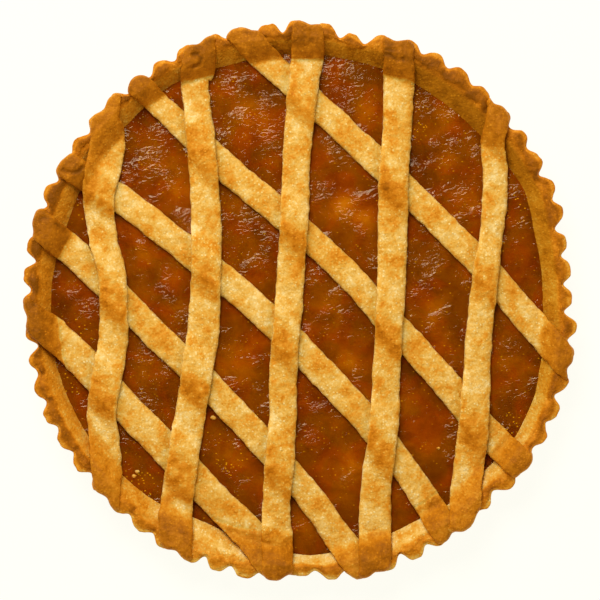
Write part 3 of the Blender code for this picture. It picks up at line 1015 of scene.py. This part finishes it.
@dataclass(frozen=True)
class Strip:
    """One strip of the lattice, from rim to rim."""

    layer: Layer
    number: int
    route: Route
    bed: Bed
    others: Edges
    folds: tuple[Fold, Fold]
    finish: bpy.types.Material
    columns: int = 44
    row_spacing: float = 0.52
    nose_length: float = 1.5
    usual_width: float = 13.4
    thickness: float = 4.0
    end_thickness: float = 2.6
    clearance: float = 0.4
    sink: float = 1.1
    shoulder: float = -2.5
    bridge: float = 9.0
    brown_shift: int = 10
    broad: float = 12.0
    middling: float = 4.4
    small: float = 1.7
    pale_bake: float = 0.2
    patch: float = 12.0
    patch_shade: float = 0.18
    fleck: float = 4.2
    fleck_shade: float = 0.08
    crossing_shade: float = 0.29
    squareness: float = 3.4
    belly: float = 0.16
    edge_wave: float = 0.4
    edge_wave_length: float = 12.0
    end_sharpness: float = 0.45
    end_round: float = 1.6
    lip_reach: float = 2.4
    lip_drop: float = 3.4
    undercut: float = 2.2

    @property
    def name(self) -> str:
        """The name of the strip's CAD node."""
        return f"{self.layer.value}_{self.number}"

    @property
    def seed(self) -> int:
        """The number that its unevenness is drawn from."""
        return self.number + (10 if self.layer is Layer.UPPER else 0)

    def section(self) -> tuple[np.ndarray, np.ndarray, np.ndarray]:
        """The rounded section that the columns go round.

        Returns:
            For each column the place across from -1 to 1, the share of the thickness, and the outward
            direction as (sideways, up).
        """
        turn = np.linspace(0.0, 2 * math.pi, 1601) - math.pi / 2
        across = np.sign(np.cos(turn)) * np.abs(np.cos(turn)) ** (2 / self.squareness)
        reach = np.where(np.sin(turn) > 0, 1 - self.belly, self.belly)
        share = self.belly + reach * np.sign(np.sin(turn)) * np.abs(np.sin(turn)) ** (2 / self.squareness)
        half = self.usual_width / 2
        steps = np.hypot(np.diff(across) * half, np.diff(share) * self.thickness)
        steps *= np.where(share[1:] < 0.06, 0.3, 1.0)
        along = np.concatenate([[0.0], np.cumsum(steps)])
        even = np.linspace(0.0, along[-1], self.columns + 1)
        across, share = np.interp(even, along, across), np.interp(even, along, share)
        side = np.gradient(share) * self.thickness
        up = -np.gradient(across) * half
        side[[0, -1]], up[[0, -1]] = 0.0, -1.0
        size = np.hypot(side, up)
        return across, share, np.stack([side / size, up / size], axis=1)

    def limit(self, angle: np.ndarray, across: np.ndarray) -> np.ndarray:
        """The radius that the strip's ends reach: a softer line than the flutes, with rounded corners."""
        return self.bed.rim.outline(angle, self.end_sharpness) - self.end_round * np.abs(across) ** 6

    def ends(self, offsets: np.ndarray, across: np.ndarray) -> tuple[np.ndarray, np.ndarray]:
        """Where the strip's columns end.

        Args:
            offsets: for each station and column, the offset from the middle.
            across: the place across, by column.

        Returns:
            Distances along the route of the first and the last place inside the outline, by column.
        """
        route = self.route
        places = route.middle[:, None, :] + route.sideways[:, None, :] * offsets[..., None]
        angle = np.arctan2(places[..., 1], places[..., 0])
        over = np.hypot(places[..., 0], places[..., 1]) - self.limit(angle, across)
        centre = len(over) // 2
        found = []
        for way in (-1, 1):
            line = over[centre::way]
            first = np.argmax(line > 0, axis=0)
            columns = np.arange(over.shape[1])
            inner, outer = line[first - 1, columns], line[first, columns]
            found.append(route.spacing * (centre + way * (first - 1 + inner / (inner - outer))))
        return found[0], found[1]

    def grid(self, across: np.ndarray) -> tuple[np.ndarray, np.ndarray, np.ndarray]:
        """Spaces the strip's rows along its route, seen from above.

        Args:
            across: the place across, by column.

        Returns:
            The rows' places from 0 to 1, the vertices' places, and the sideways directions there.
        """
        route, length = self.route, self.edge_wave_length
        left, right = (
            self.edge_wave * np.array([
                [noise.noise((x / length, y / length, (self.seed + side) / (length * MM)))]
                for x, y in route.middle
            ])
            for side in (-1, 1)
        )
        mix = (across + 1) / 2
        offsets = across * (route.width[:, None] / 2 + left * (1 - mix) + right * mix)
        start, end = self.ends(offsets, across)
        run = float(np.mean(end - start))
        nose = np.array([0.0, 0.12, 0.3, 0.6, 1.0])
        count = int((run - 2 * self.nose_length) / self.row_spacing)
        inner = np.linspace(self.nose_length, run - self.nose_length, count)
        rows = np.concatenate([nose, inner, run - nose[::-1]]) / run
        along = start + rows[:, None] * (end - start)
        columns = np.broadcast_to(np.arange(len(across)), along.shape)
        station = along / route.spacing
        low = np.clip(station.astype(int), 0, len(route.middle) - 2)
        part = (station - low)[..., None]
        offset = offsets[low, columns, None] * (1 - part) + offsets[low + 1, columns, None] * part
        centre, sideways = (
            values[low] * (1 - part) + values[low + 1] * part for values in (route.middle, route.sideways)
        )
        return rows, centre + sideways * offset, sideways

    def build(self) -> None:
        """Lays the strip over its bed and the strips that it crosses, and folds its ends onto the rim."""
        rim = self.bed.rim
        across, share, outward = self.section()
        rows, flat, sideways = self.grid(across)
        x, y = flat[..., 0], flat[..., 1]
        radius, angle = np.hypot(x, y), np.arctan2(y, x)
        inside = np.clip(self.limit(angle, across) - radius, 0.0, self.lip_reach)
        drop = self.lip_drop * (1 - np.sqrt(np.clip(1 - (1 - inside / self.lip_reach) ** 2, 0.0, 1.0)))
        on_rim = smoothstep(rim.jam_radius, rim.crest_radius, radius)
        thick = self.thickness + (self.end_thickness - self.thickness) * on_rim
        under = self.bed.top(x, y) + self.clearance
        gap = self.others.gap(x, y)
        if self.layer is Layer.UPPER:
            lifted = 1 - smoothstep(self.shoulder, self.shoulder + self.bridge, gap)
            under = under + (thick + self.clearance) * lifted
        lumps, fine = Unevenness(100 + self.seed), Unevenness(200 + self.seed)
        spot = stacked(x, y, 3.0 * share)
        broad, middling = lumps.at(spot, self.broad), lumps.at(spot + 60.0, self.middling)
        small = fine.at(spot, self.small)
        first, last = self.folds
        near = rows[:, None] < 0.5
        step = np.where(near, first.step, last.step)
        blend = np.where(near, first.blend, last.blend)
        fold_radius = np.where(near, first.radius + first.slant * across, last.radius + last.slant * across)
        past = radius - fold_radius + 0.7 * lumps.at(spot + 110.0, 5.0)
        folded = smoothstep(-blend, blend, past)
        raised = step * folded * (1 - smoothstep(3.0, 9.0, past))
        upper = smoothstep(0.05, 0.5, share)
        relief = upper * (0.3 * broad + 0.3 * middling + 0.2 * small) * (1 - 0.4 * (inside < 1.0))
        pinched = upper * sum(crease.press(x, y) for crease in CREASES.get(self.name, ()))
        height = under + share * thick - drop * (0.4 + 0.6 * upper) + raised * upper
        height = np.where(share < 0.3, height - self.sink * (1 - share / 0.3), height)
        height = height + outward[:, 1] * relief - pinched
        wobble = 0.35 * np.abs(across) ** 3 * np.sign(across) * lumps.at(stacked(x, y, 5.0), 4.6)
        flat = flat + sideways * (outward[:, 0] * relief + wobble)[..., None]
        reach = np.hypot(flat[..., 0], flat[..., 1])
        tuck = np.clip(reach - self.limit(angle, across) + self.undercut * (1 - upper), 0.0, None)
        flat = flat * (1 - tuck / reach)[..., None]
        north = smoothstep(-40.0, 40.0, y)
        brown = folded * np.where(near, first.brown, last.brown)
        brown = brown * (0.65 + 0.25 * north + (0.55 - 0.35 * north) * smoothstep(0.0, 8.0, past))
        # Painted light: slopes that rise along a strip's run face the lamp and are painted paler, and slopes
        # that fall away are painted browner.
        facing = np.clip(np.gradient(under, axis=0) / 0.25, -1.0, 1.0) * smoothstep(118.0, 110.0, radius)
        bake = self.browning(spot, share, gap, brown) - 0.07 * facing * upper
        bake = bake - 0.05 * small + 0.05 * middling * (1 - folded)
        # Painted shade: the pinched creases are painted browner.
        bake = bake + 0.14 * pinched - 0.16 * folded * smoothstep(1.6, 0.3, inside)
        # Painted shade: a dark band just before each fold's step, where the step's shadow falls. The
        # turned-up ends also get a dull tint.
        at_fold = np.exp(-(((past + 0.5 + 0.5 * blend) / 0.8) ** 2)) * smoothstep(1.6, 0.6, blend)
        damp = np.maximum(0.6 * step * at_fold, 0.2 * folded)
        # Painted shade on the lower strips, in the angles beside the upper strips.
        if self.layer is Layer.LOWER:
            damp = np.maximum(damp, 0.5 * smoothstep(5.0, 0.0, gap))
        self.write(np.concatenate([flat, height[..., None]], axis=-1), bake, damp)

    def browning(
        self, spot: np.ndarray, share: np.ndarray, gap: np.ndarray, brown: np.ndarray
    ) -> np.ndarray:
        """How browned the strip is, from 0 to 1.

        Args:
            spot: places in the strip's field of lumps.
            share: the share of the thickness, by column.
            gap: distances to the edges of the other layer's strips.
            brown: how much browner the turned-up ends are there.

        Returns:
            One share for each vertex.
        """
        blotch, fleck = Unevenness(300 + self.seed), Unevenness(400 + self.seed)
        patches = smoothstep(-0.25, 0.45, blotch.at(spot, self.patch))
        flecks = fleck.layers(spot, self.fleck, count=2)
        crest = smoothstep(0.5, 0.95, share)
        even = 1 - 0.7 * smoothstep(0.1, 0.35, brown)
        spots = self.patch_shade * patches + self.fleck_shade * flecks
        bake = self.pale_bake + (0.03 + spots * even) * crest
        at_end = brown * (1.25 + self.fleck_shade * flecks)
        if self.layer is Layer.LOWER:
            return bake + at_end
        late = np.vstack([np.repeat(gap[:1], self.brown_shift, axis=0), gap[: -self.brown_shift]])
        crossing = 1 - smoothstep(-5.0, 2.0, late + 1.1 * fleck.at(spot + 30.0, 3.5))
        at_crossing = crossing * crest * (self.crossing_shade - 0.1 * patches + 0.1 * flecks)
        return bake + np.maximum(at_crossing, at_end)

    def write(self, places: np.ndarray, bake: np.ndarray, damp: np.ndarray) -> None:
        """Wraps a grid round the strip and closes it.

        Args:
            places: the vertices' places by row and column.
            bake: their browning, with painted light and shade.
            damp: their dull, moist tint, with painted shade beside crossing strips and just before the
                folds' steps.
        """
        last_row, last_column = bake.shape[0] - 1, bake.shape[1] - 1
        bm = bmesh.new()
        bmesh.ops.create_grid(bm, x_segments=last_column, y_segments=last_row, size=1.0)
        layers = [bm.verts.layers.float.new(name) for name in ("bake", "damp")]
        for vert in bm.verts:
            at = round((vert.co.y + 1) / 2 * last_row), round((vert.co.x + 1) / 2 * last_column)
            vert.co = places[at]
            vert[layers[0]], vert[layers[1]] = bake[at], damp[at]
        bmesh.ops.remove_doubles(bm, verts=bm.verts, dist=0.01)
        bmesh.ops.holes_fill(bm, edges=[edge for edge in bm.edges if edge.is_boundary], sides=0)
        write_piece(self.name + "_pastry", bm, self.finish, (self.name,))


# Softer, brighter lumps of fruit in the jam and darker caramelised places: x, y, size and strength.
LUMPS = (
    (-25, 89, 7, 0.25), (30, 89, 6, 0.2), (20, 44, 6, 0.5), (30, 39, 5, 0.35), (67, 63, 7, 0.2),
    (69, 88, 6, 0.25), (77, 46, 8, 0.2), (-65, 63, 6, 0.15), (-56, 52, 6, 0.25), (-73, 19, 6, 0.25),
    (-60, 12, 6, 0.25), (23, -78, 8, 0.3), (61, -5, 8, 0.3), (23, -28, 6, 0.2), (95, -28, 8, 0.25),
    (60, -69, 8, 0.2), (14, 0, 7, 0.2), (-28, -28, 7, 0.15), (-69, -30, 6, 0.15), (5, -104, 6, 0.3),
    (-30, -76, 6, 0.15), (55, 67, 8, -0.2), (-79, 65, 5, -0.2), (-110, -4, 6, -0.2), (-16, 100, 7, -0.2),
    (-95, 20, 8, -0.15), (53, -35, 7, -0.15),
)
# Places where the jam's skin is most wrinkled: x, y and size.
WRINKLED = (
    (-30, 100, 6), (-16, 91, 5), (-14, 76, 6), (-35, 77, 5), (-62, 79, 6), (-70, 65, 7), (-79, 58, 5),
    (-23, 35, 6), (16, 104, 8), (24, 93, 7), (19, 68, 6), (12, 50, 5), (22, 40, 5), (60, 91, 7),
    (72, 72, 5), (53, 61, 4), (75, 49, 6), (100, 50, 4), (104, 35, 4), (65, 17, 5), (60, 6, 5),
    (9, 12, 5), (-97, -4, 5), (-53, -9, 5), (-62, -35, 4), (21, -7, 5), (98, -22, 5), (100, -42, 5),
    (25, -42, 4), (61, -13, 4),
)
# Places where gold fibres of the fruit show: x, y and size.
FIBRES = (
    (54, 88.5, 4), (56.5, 80, 4), (100.5, 47, 4), (98.5, -60, 6), (-31, -77, 6), (-72, -86, 6),
    (-109, -34, 6), (-102, -14, 5), (-9, -113, 5), (60, -95, 4), (-96, 40, 5), (84, 20, 4),
)


@dataclass(frozen=True)
class Filling:
    """The apricot jam between the shell's floor and the lattice."""

    rim: RimForm
    bed: Bed
    edges: Edges
    finish: bpy.types.Material
    half: float = 121.0
    spacing: float = 0.68
    into_rim: float = 2.4
    rise: float = 0.6
    swell: float = 0.14
    swell_spacing: float = 8.0
    calm_patch: float = 11.0
    wrinkle_spacing: float = 4.2
    wrinkle_narrowing: float = 1.7
    wrinkle_bend: float = 1.6
    bend_spacing: float = 6.0
    ridge_share: float = 0.3
    ridge_height: float = 0.08
    ripple_height: float = 0.02
    edge_shade_reach: float = 2.0
    fruit_spacing: float = 22.0
    seed: int = 51

    def surface(self, x: np.ndarray, y: np.ndarray) -> tuple[np.ndarray, ...]:
        """The jam's surface.

        Args:
            x: places across.
            y: places along.

        Returns:
            Heights, how much fruit each place shows with painted shade along the strips and the rim, how
            wrinkled it is and how many fibres show.
        """
        lumps, wrinkles = Unevenness(self.seed), Unevenness(self.seed + 1)
        lean = math.radians(WRINKLE_LEAN)
        along = x * math.cos(lean) + y * math.sin(lean)
        side = (y * math.cos(lean) - x * math.sin(lean)) * self.wrinkle_narrowing
        spot = stacked(along, side)
        bends = stacked(*(lumps.at(spot + step, self.bend_spacing) for step in (20.0, 70.0)))
        warped = spot + self.wrinkle_bend * bends
        calm = smoothstep(-0.6, 0.0, lumps.at(stacked(x, y), self.calm_patch))
        for *middle, size in WRINKLED:
            calm = calm * (1 - 0.9 * round_spot(x, y, middle, size))
        line = 1 - np.abs(wrinkles.at(warped, self.wrinkle_spacing)) / self.ridge_share
        ridges = np.clip(line, 0.0, 1.0) ** 1.5
        ripples = wrinkles.at(warped + 40.0, self.wrinkle_spacing / 2)
        fruit = lumps.at(stacked(x, y, 9.0), self.fruit_spacing) * 0.5 + 0.5
        gap = self.edges.gap(x, y)
        rim_gap = looked_up(JAM_EDGE, np.arctan2(y, x)) - np.hypot(x, y)
        swells = self.swell * lumps.at(stacked(x, y, 30.0), self.swell_spacing)
        height = self.bed.jam_top(x, y) + self.rise + swells
        height = height + (1 - 0.97 * calm) * (self.ridge_height * ridges + self.ripple_height * ripples)
        # Painted shade: the jam is painted darker along the strips' edges and the rim.
        near = np.exp(-np.clip(np.minimum(gap, rim_gap), 0, None) / self.edge_shade_reach)
        fruit_and_shade = 0.3 + 0.22 * fruit - 0.1 * near
        for *middle, size, share in LUMPS:
            fruit_and_shade = fruit_and_shade + share * round_spot(x, y, middle, size)
        fibre = np.max([round_spot(x, y, middle, size) for *middle, size in FIBRES], axis=0)
        return height, fruit_and_shade, 1 - 0.93 * calm, fibre

    def build(self) -> None:
        """Trims a fine grid to the rim, wrinkles it and closes it down to the floor."""
        bm = bmesh.new()
        segments = round(2 * self.half / self.spacing)
        bmesh.ops.create_grid(bm, x_segments=segments, y_segments=segments, size=self.half)
        co = np.array([vert.co for vert in bm.verts])
        reach = looked_up(JAM_EDGE, np.arctan2(co[:, 1], co[:, 0])) + self.into_rim
        outside = np.hypot(co[:, 0], co[:, 1]) > reach
        bmesh.ops.delete(bm, geom=[vert for vert, out in zip(bm.verts, outside) if out], context="VERTS")
        co = np.array([vert.co for vert in bm.verts])
        height, *shares = self.surface(co[:, 0], co[:, 1])
        layers = [bm.verts.layers.float.new(name) for name in ("fruit", "wrinkle", "fibre")]
        for vert, level, *values in zip(bm.verts, height, *shares):
            vert.co.z = level
            for layer, value in zip(layers, values):
                vert[layer] = value
        border = [edge for edge in bm.edges if edge.is_boundary]
        made = bmesh.ops.extrude_edge_only(bm, edges=border)
        lower = [item for item in made["geom"] if isinstance(item, bmesh.types.BMVert)]
        for vert in lower:
            size = self.rim.floor_radius / vert.co.xy.length
            vert.co = (vert.co.x * size, vert.co.y * size, self.rim.floor - 0.3)
        bmesh.ops.holes_fill(bm, edges=[edge for edge in bm.edges if edge.is_boundary], sides=0)
        write_piece("jam_filling", bm, self.finish, ("jam",))


# Crumbs of pastry on the jam: x, y and size.
CRUMBS = (
    (-75.6, -79.6, 1.1), (-77.2, -81.6, 1.0), (-40.2, -54.4, 1.3), (-107.4, 17.4, 0.9),
    (-118.5, -12.5, 0.8), (64.5, -68.5, 0.8), (-58.0, -86.0, 0.8),
)


@dataclass(frozen=True)
class Crumbs:
    """A few crumbs that fell from the lattice onto the jam."""

    bed: Bed
    finish: bpy.types.Material
    above: float = 0.8
    flatness: float = 0.6
    bake: float = 0.3
    seed: int = 71

    def build(self) -> None:
        """Sets one rough little ball for each crumb into the jam's skin."""
        bm = bmesh.new()
        lumps = Unevenness(self.seed)
        for x, y, size in CRUMBS:
            made = bmesh.ops.create_icosphere(bm, subdivisions=3, radius=size)
            start = np.array([vert.co for vert in made["verts"]])
            swollen = start * (1 + 0.5 * lumps.at(start + x, 1.3))[:, None] * (1.0, 0.75, self.flatness)
            height = float(self.bed.jam_top(np.array([x]), np.array([y]))[0]) + self.above
            for vert, place in zip(made["verts"], swollen):
                vert.co = Vector(place) + Vector((x, y, height))
        layer = bm.verts.layers.float.new("bake")
        for vert in bm.verts:
            vert[layer] = self.bake
        write_piece("pastry_crumbs", bm, self.finish)


@dataclass(frozen=True)
class Studio:
    """The floor, the lamps and the camera straight above. The camera's sizes and its aim are in
    millimetres, and the other distances are in metres."""

    camera_height: float = 2000.0
    view_width: float = 278.6
    view_level: float = 18.0
    aim: tuple[float, float] = (0.14, 0.37)
    sensor: float = 36.0
    sight: float = 50.0
    floor_half: float = 4.0
    key_power: float = 13.9
    key_distance: float = 1.2
    key_size: float = 0.6
    key_azimuth: float = -19.0
    key_elevation: float = 56.0
    fill: float = 0.92
    overhead: float = 0.04
    fill_colour: str = "#ffe7b4"
    board_glow: float = 0.95

    def floor(self) -> None:
        """A plain pale floor."""
        bm = bmesh.new()
        bmesh.ops.create_grid(bm, x_segments=1, y_segments=1, size=self.floor_half)
        mesh = bpy.data.meshes.new("floor")
        bm.to_mesh(mesh)
        bm.free()
        mesh.materials.append(Finish("backlit_white_board").shade(
            Base_Color=linear("#4a4a48"), Roughness=0.9, Emission_Color=linear("#fffff6"),
            Emission_Strength=self.board_glow,
        ))
        board = bpy.data.objects.new("floor", mesh)
        bpy.context.scene.collection.objects.link(board)

    def lamps(self) -> None:
        """One soft key lamp from the top left of the view, and a room that is brighter round its walls."""
        lamp = bpy.data.lights.new("key", "AREA")
        lamp.shape = "SQUARE"
        lamp.size = self.key_size
        lamp.energy = self.key_power
        lamp.color = linear("#fcf6ff")[:3]
        holder = bpy.data.objects.new("key", lamp)
        turn, rise = math.radians(self.key_azimuth), math.radians(self.key_elevation)
        way = Vector((math.sin(turn) * math.cos(rise), math.cos(turn) * math.cos(rise), math.sin(rise)))
        holder.location = way * self.key_distance
        holder.rotation_euler = way.to_track_quat("Z", "Y").to_euler()
        bpy.context.scene.collection.objects.link(holder)
        world = bpy.data.worlds.new("room")
        world.use_nodes = True
        tree = world.node_tree
        direction = add_node(tree, "TexCoord").outputs["Generated"]
        up = add_node(tree, "SeparateXYZ", Vector=direction).outputs["Z"]
        strength = add_node(
            tree, "MapRange", SMOOTH, Value=up, From_Min=0.93, From_Max=0.3, To_Min=self.overhead,
            To_Max=self.fill,
        )
        set_inputs(tree, tree.nodes["Background"], Color=linear(self.fill_colour), Strength=strength)
        bpy.context.scene.world = world

    def camera(self) -> None:
        """A long lens that looks straight down."""
        lens = bpy.data.cameras.new("camera")
        lens.sensor_width = self.sensor
        lens.lens = self.sensor * (self.camera_height - self.view_level) / self.view_width
        lens.clip_end = self.sight
        holder = bpy.data.objects.new("camera", lens)
        holder.location = Vector((*self.aim, self.camera_height)) * MM
        bpy.context.scene.collection.objects.link(holder)
        bpy.context.scene.camera = holder
        bpy.context.scene.view_settings.view_transform = "Standard"


def main() -> None:
    """Builds the tart piece by piece, then the studio round it."""
    logging.basicConfig(level=logging.INFO, format="%(message)s")
    rim = RimForm()
    bed = Bed(rim)
    lower = [Route(points) for points in LOWER_STRIPS]
    upper = [Route(points) for points in UPPER_STRIPS]
    lower_edges, upper_edges = Edges(lower), Edges(upper)
    studio = Studio()
    studio.camera()
    Shell(rim, CRUST_PASTRY.make()).build()
    Filling(rim, bed, Edges(lower + upper), JAM_FINISH.make()).build()
    pastry = STRIP_PASTRY.make()
    for layer, routes, others, ends in (
        (Layer.LOWER, lower, upper_edges, LOWER_FOLDS), (Layer.UPPER, upper, lower_edges, UPPER_FOLDS)
    ):
        for number, (route, folds) in enumerate(zip(routes, ends), 1):
            Strip(layer, number, route, bed, others, folds, pastry).build()
    Crumbs(bed, pastry).build()
    studio.floor()
    studio.lamps()


if __name__ == "__main__":
    main()
